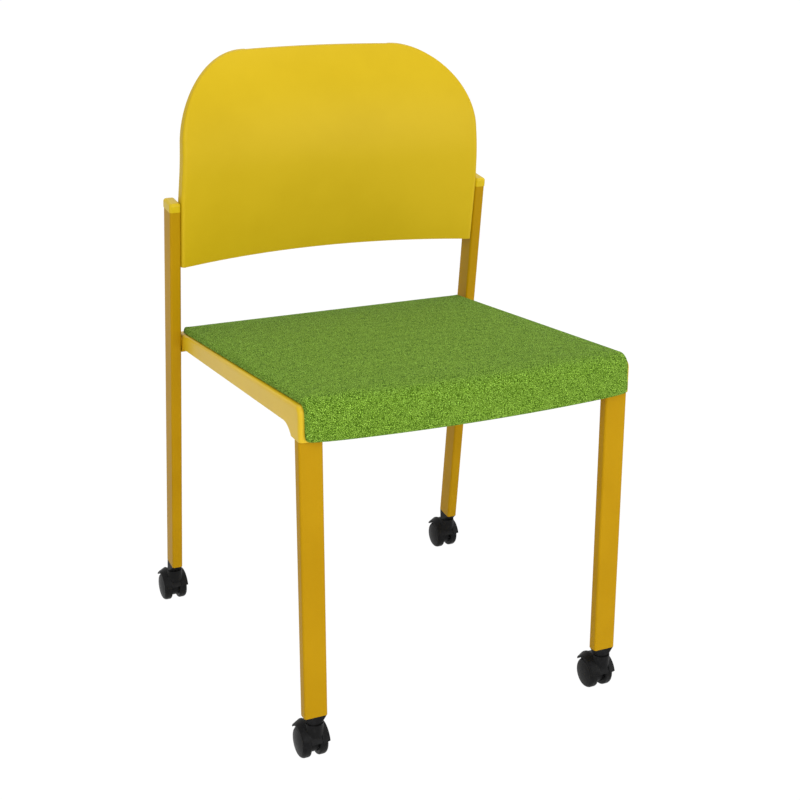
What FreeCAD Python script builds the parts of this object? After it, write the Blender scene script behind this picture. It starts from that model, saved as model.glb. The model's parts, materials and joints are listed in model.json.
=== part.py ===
# Four-legged stacking and nesting chair on castors: steel tube frame, moulded seat shell
# with a wrapped pad, moulded back panel between the uprights, four twin-wheel castors.
# Millimetres. The chair faces -Y, Z is up, and the origin is on the floor under the middle
# of the chair. Depths named "back" are counted from the front face of the front legs.
import FreeCAD
import Part
import Sketcher
import math
import os
import re

Vector = FreeCAD.Vector

# Driving dimensions, written once. Every one is a cell of the sheet.
sizes = {
    # tube stock
    "tube_long": 30.0,
    "tube_short": 15.0,
    "tube_wall": 1.5,
    "tube_corner": 3.0,
    # frame
    "tube_end_height": 62.0,
    "front_leg_centre": 204.0,
    "front_leg_top": 452.0,
    "upright_centre": 227.1,
    "upright_back": 484.0,
    "upright_lean": 7.88,
    "upright_length": 548.0,
    # under-seat frame
    "rail_wide": 25.0,
    "rail_tall": 12.0,
    "rail_centre": 194.0,
    "rail_rise": 1.0,
    "crossbar_side": 20.0,
    "front_bar_tall": 20.0,
    "front_bar_deep": 12.0,
    "front_bar_height": 416.0,
    # seat shell
    "shell_front": 6.0,
    "shell_bow": 15.0,
    "shell_half_front": 221.6,
    "shell_half_rear": 217.6,
    "shell_rear_back": 458.0,
    "shell_front_top": 459.0,
    "shell_rear_top": 428.3,
    "shell_front_bottom": 411.0,
    "shell_wall": 3.0,
    "skirt_wall": 2.4,
    "skirt_front": 25.0,
    "skirt_rear": 18.5,
    "saddle_tall": 29.0,
    "saddle_deep": 26.0,
    "ear_in": 7.0,
    "shell_nose": 12.0,
    "shell_edge": 4.5,
    "shell_corner_back": 402.0,
    "knee_inset": 24.0,
    "knee_round": 9.0,
    # seat pad
    "pad_half": 211.0,
    "pad_thick": 10.0,
    "pad_crown": 3.5,
    "pad_rear_back": 447.0,
    "pad_nose": 19.0,
    "pad_lip": 9.0,
    "pad_edge": 3.5,
    "pad_front_thinner": 0.8,
    "cover_thick": 1.2,
    # back panel
    "panel_half": 219.3,
    "panel_bow": 31.0,
    "panel_wall": 5.0,
    "panel_flange": 37.0,
    "panel_back": 417.7,
    "panel_bottom": 526.9,
    "panel_lean": 9.26,
    "panel_straight": 119.5,
    "panel_curl": 215.0,
    "panel_tall": 269.0,
    "panel_corner": 106.0,
    "panel_fold": 4.5,
    "panel_shoulder": 92.0,
    "panel_draw_in": 3.6,
    "panel_turn": 60.0,
    "return_reach": 14.0,
    "return_end": 17.0,
    # upright caps
    "cap_tall": 12.0,
    "cap_proud": 0.8,
    "cap_plug": 22.0,
    "cap_round": 4.0,
    # castors
    "wheel_radius": 20.0,
    "wheel_wide": 13.5,
    "wheel_crown": 1.6,
    "tread_round": 5.0,
    "wheel_bore_deep": 10.0,
    "hub_radius": 8.0,
    "wheel_recess": 2.5,
    "wheel_gap": 5.3,
    "castor_trail": 14.0,
    "rear_castor_shift": 4.0,
    "axle_radius": 2.5,
    "stem_radius": 4.0,
    "stem_length": 26.0,
    "neck_radius": 11.0,
    "neck_top": 51.9,
    "neck_bore": 22.0,
    "web_radius": 14.5,
    "web_thick": 9.4,
    "wheel_clearance": 0.9,
    "fender_wall": 2.2,
    "fender_rise": 5.0,
    "fender_crest": 8.0,
    "fender_half": 18.0,
    "fender_round": 3.0,
    "fender_lean": 14.5,
    "fender_turn": 119.0,
    "fender_skirt": 2.0,
    "channel_half": 6.5,
    "channel_deep": 1.2,
    "plug_insert": 30.0,
    "collar_long": 20.0,
    "collar_short": 16.4,
    "collar_corner": 7.5,
    # screws
    "screw_radius": 2.5,
    "screw_head_radius": 4.8,
    "screw_head_tall": 2.6,
    "boss_radius": 6.0,
    "screw_poke": 3.0,
    "back_screw_low": 486.0,
    "back_screw_high": 516.0,
    "seat_screw_front": 95.0,
    "seat_screw_rear": 365.0,
    # clearances
    "slide_fit": 0.1,
    "running_fit": 0.05,
    "seat_gap": 0.3,
}

# Places worked out from the driving dimensions, as formulas in the same words. They are the
# cells of a second sheet.
formulas = {
    "slope": "(shell_front_top-shell_rear_top)/(shell_rear_back+shell_front)",
    "depth_middle": "(rear_axle_back+wheel_radius-pad_front)/2",
    "pad_front": "shell_front+shell_bow+pad_thick-pad_front_thinner",
    "upright_mid_back": "upright_back+tube_long/2*cos(upright_lean)",
    "upright_mid_height": "tube_end_height+tube_long/2*sin(upright_lean)",
    "front_stem_back": "tube_short/2",
    "rear_stem_back": "upright_mid_back+rear_castor_shift",
    "rear_axle_back": "rear_stem_back+castor_trail",
    "panel_arc": "(panel_half^2+panel_bow^2)/(2*panel_bow)",
    "wheel_dome": "((wheel_radius-tread_round)^2+wheel_crown^2)/(2*wheel_crown)",
    "wheel_bore": "axle_radius+running_fit",
    "shell_arc": "(shell_half_front^2+shell_bow^2)/(2*shell_bow)",
    "shell_front_edge": "shell_front_top+slope*shell_bow",
    "knee_back": "tube_short+knee_inset",
    "saddle_back": "shell_rear_back-saddle_deep",
    "shell_top_knee": "shell_rear_top+slope*(shell_rear_back-knee_back)",
    "low_knee": "shell_top_knee-skirt_front",
    "low_rear": "shell_rear_top+slope*saddle_deep-skirt_rear",
    "low_slope": "(low_knee-low_rear)/(saddle_back-knee_back)",
    "rail_angle": "atan(low_slope)",
    "rail_line": "low_knee+low_slope*knee_back+rail_tall/2+rail_rise",
    "rail_start": "tube_short+rail_tall/2*sin(rail_angle)",
    "rail_length": "(crossbar_front-rail_start)/cos(rail_angle)-rail_tall/2*tan(rail_angle)",
    "crossbar_front": "saddle_back+skirt_wall+2*seat_gap",
    "crossbar_mid": "crossbar_front+crossbar_side/2",
    "crossbar_top": "shell_rear_top-shell_wall-seat_gap",
    "leg_inside": "front_leg_centre-tube_long/2",
    "upright_inside": "upright_centre-tube_short/2",
    "ear_side": "upright_inside-2*seat_gap",
    "ear_throat": "shell_half_rear-ear_in",
    "neck_up": "neck_top-wheel_radius",
    "well_radius": "wheel_radius+wheel_clearance",
    "panel_inner": "panel_half-panel_wall",
    "panel_inner_side": "panel_bow-panel_arc+sqrt((panel_arc+panel_wall)^2-panel_inner^2)",
    "panel_top_half": "panel_half-panel_draw_in",
    "fold_side": "panel_bow-panel_arc+sqrt((panel_arc+panel_fold)^2-(panel_half-panel_fold)^2)",
    "fold_share": "panel_arc/(panel_arc+panel_fold)",
    "fold_face_half": "(panel_half-panel_fold)*fold_share",
    "fold_face": "panel_bow-panel_arc+(fold_side-panel_bow+panel_arc)*fold_share",
}

doc = FreeCAD.newDocument("Chair")


def add_sheet(name, cells):
    sheet = doc.addObject("Spreadsheet::Sheet", name)
    for row, (word, content) in enumerate(cells.items(), start=1):
        sheet.set("A%d" % row, word)
        sheet.set("B%d" % row, content)
        sheet.setAlias("B%d" % row, word)
    doc.recompute()
    return sheet


def spelled(formula):
    """A formula with each word pointed at its cell."""
    def cell(match):
        word = match.group()
        if word in sizes:
            return "Sizes." + word
        return "Places." + word if word in formulas else word
    return re.sub(r"\b[a-z_]+\b", cell, str(formula))


add_sheet("Sizes", {word: str(number) for word, number in sizes.items()})
places = add_sheet("Places", {word: "=" + spelled(formula).replace("Places.", "")
                              for word, formula in formulas.items()})


def value(formula):
    return float(places.evalExpression(spelled(formula)))


def bind(obj, prop, formula):
    obj.setExpression(prop, spelled(formula))


def place(obj, x="0", back="0", up="0", tilt=None, middle="depth_middle"):
    """Puts an object at x, back from the front legs' face and up from the floor. Pieces of a
    larger one, which is placed itself, take middle 0."""
    angle = value(tilt) if tilt else 0
    depth = "%s-%s" % (back, middle)
    base = Vector(value(x), value(depth), value(up))
    obj.Placement = FreeCAD.Placement(base, FreeCAD.Rotation(Vector(1, 0, 0), angle))
    bind(obj, "Placement.Base.x", x)
    bind(obj, "Placement.Base.y", depth)
    bind(obj, "Placement.Base.z", up)
    if tilt:
        bind(obj, "Placement.Rotation.Angle", tilt)


def new_body(label):
    body = doc.addObject("PartDesign::Body", label)
    body.Label = label
    return body


def new_sketch(body, role, lift=None, tilt=None):
    """A sketch on one of the body's own origin planes, lifted along the plane's normal."""
    plane = [f for f in body.Origin.OriginFeatures if f.Role == role][0]
    sk = body.newObject("Sketcher::SketchObject", body.Label + "_outline")
    sk.AttachmentSupport = [(plane, "")]
    sk.MapMode = "FlatFace"
    if lift or tilt:
        angle = value(tilt) if tilt else 0
        spot = Vector(0, 0, value(lift) if lift else 0)
        sk.AttachmentOffset = FreeCAD.Placement(spot, FreeCAD.Rotation(Vector(1, 0, 0), angle))
        if lift:
            bind(sk, "AttachmentOffset.Base.z", lift)
        if tilt:
            bind(sk, "AttachmentOffset.Rotation.Angle", tilt)
    return sk


def fix_point(sk, geo, end, x, y):
    """Holds one end of a line or the centre of a circle at x, y."""
    for axis, formula in (("DistanceX", x), ("DistanceY", y)):
        index = sk.addConstraint(Sketcher.Constraint(axis, -1, 1, geo, end, value(formula)))
        sk.setExpression("Constraints[%d]" % index, spelled(formula))


def draw_outline(sk, points):
    """A closed outline. A point is (x, y), or (x, y, radius) where an arc leads to the next
    point: a positive radius bulges to the left of the way there, a negative one to the right."""
    spots = [Vector(value(p[0]), value(p[1]), 0) for p in points]
    count = len(points)
    first = sk.GeometryCount
    for i, point in enumerate(points):
        here, there = spots[i], spots[(i + 1) % count]
        if len(point) == 2:
            sk.addGeometry(Part.LineSegment(here, there))
            continue
        radius = value(point[2])
        chord = there - here
        rise = abs(radius) - math.sqrt(radius ** 2 - chord.Length ** 2 / 4)
        left = Vector(-chord.y, chord.x, 0).normalize()
        crest = (here + there) / 2 + left * math.copysign(rise, radius)
        if radius > 0:
            here, there = there, here
        sk.addGeometry(Part.Arc(here, crest, there))
    # A sketch's arcs run counterclockwise, so one that bulges left starts at its far end.
    ends = [(2, 1) if len(p) == 3 and value(p[2]) > 0 else (1, 2) for p in points]
    for i in range(count):
        after = (i + 1) % count
        sk.addConstraint(Sketcher.Constraint("Coincident", first + i, ends[i][1],
                                             first + after, ends[after][0]))
    for i, point in enumerate(points):
        fix_point(sk, first + i, ends[i][0], point[0], point[1])
        if len(point) == 3:
            radius = abs(value(point[2]))
            index = sk.addConstraint(Sketcher.Constraint("Radius", first + i, radius))
            sk.setExpression("Constraints[%d]" % index, "abs(%s)" % spelled(point[2]))


def draw_curl(sk, straight, radius, turn):
    """An open line up the sketch's Y axis that ends in an arc towards +X."""
    length, bend, angle = value(straight), value(radius), math.radians(value(turn))
    knee = Vector(0, length, 0)
    crest = Vector(bend * (1 - math.cos(angle / 2)), length + bend * math.sin(angle / 2), 0)
    end = Vector(bend * (1 - math.cos(angle)), length + bend * math.sin(angle), 0)
    sk.addGeometry(Part.LineSegment(Vector(0, 0, 0), knee))
    sk.addGeometry(Part.Arc(end, crest, knee))
    sk.addConstraint(Sketcher.Constraint("Tangent", 0, 2, 1, 2))
    fix_point(sk, 0, 1, "0", "0")
    fix_point(sk, 0, 2, "0", straight)
    index = sk.addConstraint(Sketcher.Constraint("Radius", 1, bend))
    sk.setExpression("Constraints[%d]" % index, spelled(radius))
    height = "%s+%s*sin(%s*1deg)" % (straight, radius, turn)
    index = sk.addConstraint(Sketcher.Constraint("DistanceY", -1, 1, 1, 1, value(height)))
    sk.setExpression("Constraints[%d]" % index, spelled(height))


def draw_rounded(sk, wide, deep, corner, x="0", y="0"):
    """A rectangle with round corners about x, y."""
    a, b, r = value(wide) / 2, value(deep) / 2, value(corner)
    cx, cy = value(x), value(y)
    corners = [(a, b, 0), (-a, b, 90), (-a, -b, 180), (a, -b, 270)]
    for px, py, start in corners:
        centre = Vector(cx + px - math.copysign(r, px), cy + py - math.copysign(r, py), 0)
        circle = Part.Circle(centre, Vector(0, 0, 1), r)
        first = math.radians(start)
        sk.addGeometry(Part.ArcOfCircle(circle, first, first + math.pi / 2))
    for i in range(4):
        here, there = sk.Geometry[i].EndPoint, sk.Geometry[(i + 1) % 4].StartPoint
        sk.addGeometry(Part.LineSegment(here, there))
    for i in range(4):
        line = 4 + i
        sk.addConstraint(Sketcher.Constraint("Tangent", i, 2, line, 1))
        sk.addConstraint(Sketcher.Constraint("Tangent", line, 2, (i + 1) % 4, 1))
    for i in (1, 2, 3):
        sk.addConstraint(Sketcher.Constraint("Equal", 0, i))
    for line, kind in ((4, "Horizontal"), (6, "Horizontal"), (5, "Vertical"), (7, "Vertical")):
        sk.addConstraint(Sketcher.Constraint(kind, line))
    edges = [(4, "DistanceY", "%s+(%s)/2" % (y, deep)), (6, "DistanceY", "%s-(%s)/2" % (y, deep)),
             (5, "DistanceX", "%s-(%s)/2" % (x, wide)), (7, "DistanceX", "%s+(%s)/2" % (x, wide))]
    for line, axis, formula in edges:
        index = sk.addConstraint(Sketcher.Constraint(axis, -1, 1, line, 1, value(formula)))
        sk.setExpression("Constraints[%d]" % index, spelled(formula))
    index = sk.addConstraint(Sketcher.Constraint("Radius", 0, r))
    sk.setExpression("Constraints[%d]" % index, spelled(corner))


def draw_circle(sk, x, y, radius):
    centre = Vector(value(x), value(y), 0)
    geo = sk.addGeometry(Part.Circle(centre, Vector(0, 0, 1), value(radius)))
    fix_point(sk, geo, 3, x, y)
    index = sk.addConstraint(Sketcher.Constraint("Radius", geo, value(radius)))
    sk.setExpression("Constraints[%d]" % index, spelled(radius))


def add_pad(body, sk, length, centred=False, flipped=False):
    pad = body.newObject("PartDesign::Pad", body.Label + "_pad")
    pad.Profile = sk
    bind(pad, "Length", length)
    pad.Midplane = centred
    pad.Reversed = flipped
    doc.recompute()
    return pad


def add_pocket(body, sk, length, centred=False, flipped=False):
    """A cut that has to take something away."""
    before = body.Shape.Volume
    pocket = body.newObject("PartDesign::Pocket", body.Label + "_pocket")
    pocket.Profile = sk
    bind(pocket, "Length", length)
    pocket.Midplane = centred
    pocket.Reversed = flipped
    doc.recompute()
    if body.Shape.Volume >= before - 1e-6:
        raise RuntimeError("a pocket in %s cuts nothing" % body.Label)
    return pocket


def add_turn(body, sk, angle="360", centred=False):
    """A turn of the sketch about its own X axis."""
    turn = body.newObject("PartDesign::Revolution", body.Label + "_turn")
    turn.Profile = sk
    turn.ReferenceAxis = (sk, ["H_Axis"])
    bind(turn, "Angle", angle)
    turn.Midplane = centred
    doc.recompute()
    return turn


def add_fillet(body, radius, choose):
    """Rounds the edges of the body's tip that choose picks by their middle point."""
    base = body.Tip
    names = []
    for i, edge in enumerate(base.Shape.Edges, start=1):
        middle = edge.valueAt((edge.FirstParameter + edge.LastParameter) / 2)
        if choose(edge, middle):
            names.append("Edge%d" % i)
    fillet = body.newObject("PartDesign::Fillet", body.Label + "_round")
    fillet.Base = (base, names)
    bind(fillet, "Radius", radius)
    doc.recompute()
    return fillet


def tube(label, wide, deep, length, holes=()):
    """Rectangular tube along Z from the origin. holes are (plane, across, along, radius, reach,
    flipped): round holes drilled from an origin plane out through one side."""
    body = new_body(label)
    outer = new_sketch(body, "XY_Plane")
    draw_rounded(outer, wide, deep, "tube_corner")
    add_pad(body, outer, length)
    bore = new_sketch(body, "XY_Plane")
    draw_rounded(bore, "%s-2*tube_wall" % wide, "%s-2*tube_wall" % deep, "tube_corner-tube_wall")
    add_pocket(body, bore, length, flipped=True)
    for plane, across, along, radius, reach, flipped in holes:
        hole = new_sketch(body, plane)
        draw_circle(hole, across, along, radius)
        add_pocket(body, hole, reach, flipped=flipped)
    return body


def part_sketch(label, upright=False, lift="0"):
    """A sketch that stands by itself: flat at a height, or upright in the middle plane,
    where its x runs back and its y up."""
    sk = doc.addObject("Sketcher::SketchObject", label)
    if upright:
        turned = FreeCAD.Rotation(Vector(1, 1, 1), 120)
        sk.Placement = FreeCAD.Placement(Vector(0, 0, 0), turned)
    else:
        bind(sk, "Placement.Base.z", lift)
    return sk


def extrude(label, sk, length, centred=False):
    block = doc.addObject("Part::Extrusion", label)
    block.Base = sk
    block.DirMode = "Normal"
    bind(block, "LengthFwd", length)
    block.Symmetric = centred
    block.Solid = True
    return block


def boolean(kind, label, base, tool):
    result = doc.addObject("Part::" + kind, label)
    result.Base = base
    result.Tool = tool
    doc.recompute()
    return result


def round_edges(label, base, choices):
    """Rounds edges of a solid: choices are (radius formula, choose) pairs."""
    result = doc.addObject("Part::Fillet", label)
    result.Base = base
    picked = []
    for i, edge in enumerate(base.Shape.Edges, start=1):
        middle = edge.valueAt((edge.FirstParameter + edge.LastParameter) / 2)
        for radius, choose in choices:
            if choose(edge, middle):
                picked.append((i, value(radius), value(radius)))
                break
    result.Edges = picked
    doc.recompute()
    return result


def section_wire(points):
    """A closed wire in space from corner points and arcs: a point is (spot,) or
    (spot, crest), where crest is the middle of the arc to the next point."""
    edges = []
    for i, point in enumerate(points):
        there = points[(i + 1) % len(points)][0]
        if len(point) == 2:
            edges.append(Part.Arc(point[0], point[1], there).toShape())
        else:
            edges.append(Part.LineSegment(point[0], there).toShape())
    return Part.Wire(edges)


def screw(label, length):
    """A screw along Z: its head stands below the origin and its shank above."""
    shank = doc.addObject("Part::Cylinder", label + "_shank")
    bind(shank, "Radius", "screw_radius")
    bind(shank, "Height", length)
    head = doc.addObject("Part::Cone", label + "_head")
    bind(head, "Radius1", "screw_head_radius*0.7")
    bind(head, "Radius2", "screw_head_radius")
    bind(head, "Height", "screw_head_tall")
    bind(head, "Placement.Base.z", "-screw_head_tall")
    return boolean("Fuse", label, shank, head)


def group(label, members):
    node = doc.addObject("Part::Compound", label)
    node.Links = members
    nodes[label] = node


def place_turned(obj, x, back, up, axis, angle):
    """As place, for a piece that is turned by a fixed angle about another axis than X."""
    place(obj, x, back, up)
    obj.Placement = FreeCAD.Placement(obj.Placement.Base, FreeCAD.Rotation(axis, angle))


nodes = {}
sides = {"left": -1, "right": 1}

# Tube frame
for side, sign in sides.items():
    leg = tube("front_leg_" + side, "tube_long", "tube_short", "front_leg_top-tube_end_height")
    place(leg, "%d*front_leg_centre" % sign, "tube_short/2", "tube_end_height")

    drilled = [("YZ_Plane", "0", rise, "screw_radius+slide_fit", "tube_short", sign < 0)
               for rise in ("back_screw_low", "back_screw_high")]
    upright = tube("rear_upright_" + side, "tube_short", "tube_long", "upright_length", drilled)
    place(upright, "%d*upright_centre" % sign, "upright_mid_back", "upright_mid_height",
          "upright_lean")

    drilled = [("XZ_Plane", "0", "(%s-rail_start)/cos(rail_angle)" % back,
                "screw_radius+slide_fit", "rail_tall", flipped)
               for back in ("seat_screw_front", "seat_screw_rear") for flipped in (False, True)]
    rail = tube("seat_rail_" + side, "rail_wide", "rail_tall", "rail_length", drilled)
    place(rail, "%d*rail_centre" % sign, "rail_start", "rail_line-low_slope*rail_start",
          "-90deg-rail_angle")
    for piece in (leg, upright, rail):
        nodes[piece.Label] = piece

front_bar = tube("front_crossbar", "front_bar_tall", "front_bar_deep", "2*leg_inside")
place_turned(front_bar, "-leg_inside", "tube_short/2", "front_bar_height+front_bar_tall/2",
             Vector(0, 1, 0), 90)
nodes[front_bar.Label] = front_bar

rear_bar = tube("rear_crossbar", "crossbar_side", "crossbar_side", "2*upright_inside")
place_turned(rear_bar, "-upright_inside", "crossbar_mid", "crossbar_top-crossbar_side/2",
             Vector(0, 1, 0), 90)
nodes[rear_bar.Label] = rear_bar

# Upright caps: a domed head over the tube's end, flush on its inner side, and a plug in it
for side, sign in sides.items():
    cap = new_body("upright_cap_" + side)
    head = new_sketch(cap, "XY_Plane")
    draw_rounded(head, "tube_short+cap_proud", "tube_long+2*cap_proud", "tube_corner+cap_proud",
                 x="%d*cap_proud/2" % sign)
    add_pad(cap, head, "cap_tall")
    plug = new_sketch(cap, "XY_Plane")
    draw_rounded(plug, "tube_short-2*tube_wall-2*slide_fit", "tube_long-2*tube_wall-2*slide_fit",
                 "tube_corner-tube_wall")
    add_pad(cap, plug, "cap_plug", flipped=True)
    top = value("cap_tall")
    add_fillet(cap, "cap_round", lambda edge, middle: abs(middle.z - top) < 1e-6)
    place(cap, "%d*upright_centre" % sign, "upright_mid_back-upright_length*sin(upright_lean)",
          "upright_mid_height+upright_length*cos(upright_lean)", "upright_lean")
    nodes[cap.Label] = cap


def in_panel(rise):
    """The place of an upright's screw in the panel's own back and up."""
    back = "(upright_mid_back-%s*sin(upright_lean)-panel_back)" % rise
    up = "(upright_mid_height+%s*cos(upright_lean)-panel_bottom)" % rise
    turned_back = "%s*cos(panel_lean)+%s*sin(panel_lean)" % (back, up)
    turned_up = "%s*cos(panel_lean)-%s*sin(panel_lean)" % (up, back)
    return turned_back, turned_up


# Back panel: a bowed wall with side returns, carried along a line that curls back at the top
panel = new_body("back_panel")
section = new_sketch(panel, "XY_Plane")
draw_outline(section, [
    ("panel_half", "panel_flange"),
    ("panel_inner", "panel_flange"),
    ("panel_inner", "panel_inner_side", "-(panel_arc+panel_wall)"),
    ("-panel_inner", "panel_inner_side"),
    ("-panel_inner", "panel_flange"),
    ("-panel_half", "panel_flange"),
    ("-panel_half", "fold_side", "-panel_fold"),
    ("-fold_face_half", "fold_face", "panel_arc"),
    ("fold_face_half", "fold_face", "-panel_fold"),
    ("panel_half", "fold_side"),
])
path = new_sketch(panel, "YZ_Plane")
draw_curl(path, "panel_straight", "panel_curl", "panel_turn")
pipe = panel.newObject("PartDesign::AdditivePipe", "back_panel_pipe")
pipe.Profile = section
pipe.Spine = (path, ["Edge1", "Edge2"])
pipe.Mode = "Fixed"
doc.recompute()
outline = new_sketch(panel, "XZ_Plane")
draw_outline(outline, [
    ("-panel_half-panel_curl", "-panel_curl"),
    ("panel_half+panel_curl", "-panel_curl"),
    ("panel_half+panel_curl", "panel_tall+panel_curl"),
    ("-panel_half-panel_curl", "panel_tall+panel_curl"),
])
draw_outline(outline, [
    ("-panel_half", "0"),
    ("panel_half", "0"),
    ("panel_half", "panel_shoulder"),
    ("panel_top_half", "panel_tall-panel_corner", "-panel_corner"),
    ("panel_top_half-panel_corner", "panel_tall"),
    ("-(panel_top_half-panel_corner)", "panel_tall", "-panel_corner"),
    ("-panel_top_half", "panel_tall-panel_corner"),
    ("-panel_half", "panel_shoulder"),
])
add_pocket(panel, outline, "4*panel_curl", centred=True)
# the side returns taper away behind the top corners
for out in (1, -1):
    taper = new_sketch(panel, "YZ_Plane", lift="%d*(panel_half-return_reach)" % out)
    draw_outline(taper, [
        ("panel_flange+panel_wall", "panel_shoulder-panel_wall"),
        ("2*panel_curl", "panel_shoulder-panel_wall"),
        ("2*panel_curl", "panel_tall-panel_corner/2"),
        ("panel_flange", "panel_tall-panel_corner/2"),
        ("return_end", "panel_tall-panel_corner"),
    ])
    add_pocket(panel, taper, "2*return_reach", flipped=out > 0)
    for rise in ("back_screw_low", "back_screw_high"):
        hole = new_sketch(panel, "YZ_Plane", lift="%d*(panel_half-return_reach)" % out)
        draw_circle(hole, *in_panel(rise), "screw_radius+slide_fit")
        add_pocket(panel, hole, "2*return_reach", flipped=out > 0)
place(panel, "0", "panel_back", "panel_bottom", "panel_lean")
nodes[panel.Label] = panel

# Screws that hold the panel's side returns to the uprights, from inside
members = []
for side, sign in sides.items():
    for rise in ("back_screw_low", "back_screw_high"):
        member = screw("back_screw_%s_%s" % (side, rise.split("_")[-1]),
                       "panel_wall+2*seat_gap+tube_wall+screw_poke")
        place_turned(member, "%d*(panel_inner-seat_gap)" % sign,
                     "upright_mid_back-%s*sin(upright_lean)" % rise,
                     "upright_mid_height+%s*cos(upright_lean)" % rise,
                     Vector(0, 1, 0), 90 * sign)
        members.append(member)
group("back_screws", members)

# Seat shell: a side outline and a plan outline meet in one solid, and the hollow likewise
def shell_block(label, wall, below):
    """The shell's outer form at wall 0, or the hollow inside its walls."""
    thin = "(%s)/shell_wall*skirt_wall" % wall
    profile = part_sketch(label + "_side", upright=True)
    if below:
        draw_outline(profile, [
            ("-shell_front-shell_bow+%s" % wall, "0"),
            ("-shell_front-shell_bow+%s" % wall, "shell_front_edge-%s" % wall),
            ("shell_rear_back-%s" % thin, "shell_rear_top+slope*(%s)-%s" % (thin, wall)),
            ("shell_rear_back-%s" % thin, "0"),
        ])
    else:
        draw_outline(profile, [
            ("-shell_front-shell_bow", "shell_front_bottom"),
            ("-shell_front-shell_bow", "shell_front_edge"),
            ("shell_rear_back", "shell_rear_top"),
            ("shell_rear_back", "shell_rear_top-saddle_tall"),
            ("saddle_back", "shell_rear_top-saddle_tall"),
            ("saddle_back", "low_rear"),
            ("knee_back", "low_knee"),
            ("tube_short+knee_round", "low_knee-knee_round/2"),
            ("tube_short-knee_round/2", "shell_front_bottom"),
        ])
    outline = part_sketch(label + "_plan")
    ear = "upright_centre" if below else "ear_side"
    plan = [
        ("shell_half_front-%s" % thin, "-shell_front+%s" % wall),
        ("shell_half_rear-%s" % thin, "shell_corner_back"),
        ("ear_throat-%s" % thin, "saddle_back-ear_in/2"),
        ("ear_throat-%s" % thin, "saddle_back+%s" % thin),
        (ear, "saddle_back+%s" % thin),
        (ear, "shell_rear_back-%s" % thin),
    ]
    mirrored = [("-(%s)" % x, y) for x, y in reversed(plan)]
    front = ("-(shell_half_front-%s)" % thin, "-shell_front+%s" % wall, "-shell_arc")
    draw_outline(outline, plan + mirrored[:-1] + [front])
    side_block = extrude(label + "_from_side", profile, "4*shell_half_front", centred=True)
    plan_block = extrude(label + "_from_above", outline, "2*shell_front_top")
    return boolean("Common", label, side_block, plan_block)


def is_front_top(edge, middle):
    return middle.y < 0 and middle.z > value("shell_front_top-shell_nose") and edge.Length > 100


def is_side_top(edge, middle):
    straight = abs(middle.x) > value("ear_throat") and edge.Length > value("shell_rear_back/2")
    return straight and middle.z > value("low_knee")


outer = shell_block("shell_form", "0", False)
outer = round_edges("shell_form_round", outer, [("shell_nose", is_front_top)])
outer = round_edges("shell_form_soft", outer, [("shell_edge", is_side_top)])
inner = shell_block("shell_hollow", "shell_wall", True)
inner = round_edges("shell_hollow_round", inner, [("shell_nose-shell_wall", is_front_top)])
shell = boolean("Cut", "shell_open", outer, inner)


def on_screw_line(back, out):
    """The back and up of a point on a seat screw's line, out from the rail's middle line."""
    return ("%s+(%s)*sin(rail_angle)" % (back, out),
            "rail_line-low_slope*%s+(%s)*cos(rail_angle)" % (back, out))


bosses, holes = [shell], []
for side, sign in sides.items():
    for screw_back in ("seat_screw_front", "seat_screw_rear"):
        back, rail_top = on_screw_line(screw_back, "rail_tall/2")
        room = "shell_rear_top+slope*(shell_rear_back-(%s))-shell_wall-(%s)" % (back, rail_top)
        for pieces, radius, height in ((bosses, "boss_radius", room + "+shell_wall/2"),
                                       (holes, "screw_radius+slide_fit", room)):
            piece = doc.addObject("Part::Cylinder", "shell_boss")
            bind(piece, "Radius", radius)
            bind(piece, "Height", height)
            place(piece, "%d*rail_centre" % sign, back, rail_top, "-1*rail_angle", middle="0")
            pieces.append(piece)
with_bosses = doc.addObject("Part::MultiFuse", "shell_with_bosses")
with_bosses.Shapes = bosses
bores = doc.addObject("Part::Compound", "shell_bores")
bores.Links = holes
shell = boolean("Cut", "seat_shell", with_bosses, bores)
place(shell)
nodes["seat_shell"] = shell

members = []
for side, sign in sides.items():
    for screw_back in ("seat_screw_front", "seat_screw_rear"):
        member = screw("seat_screw_%s_%s" % (side, screw_back.split("_")[-1]),
                       "rail_tall+seat_gap+screw_poke")
        place(member, "%d*rail_centre" % sign,
              *on_screw_line(screw_back, "-rail_tall/2-seat_gap"), "-1*rail_angle")
        members.append(member)
group("seat_screws", members)


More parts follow.
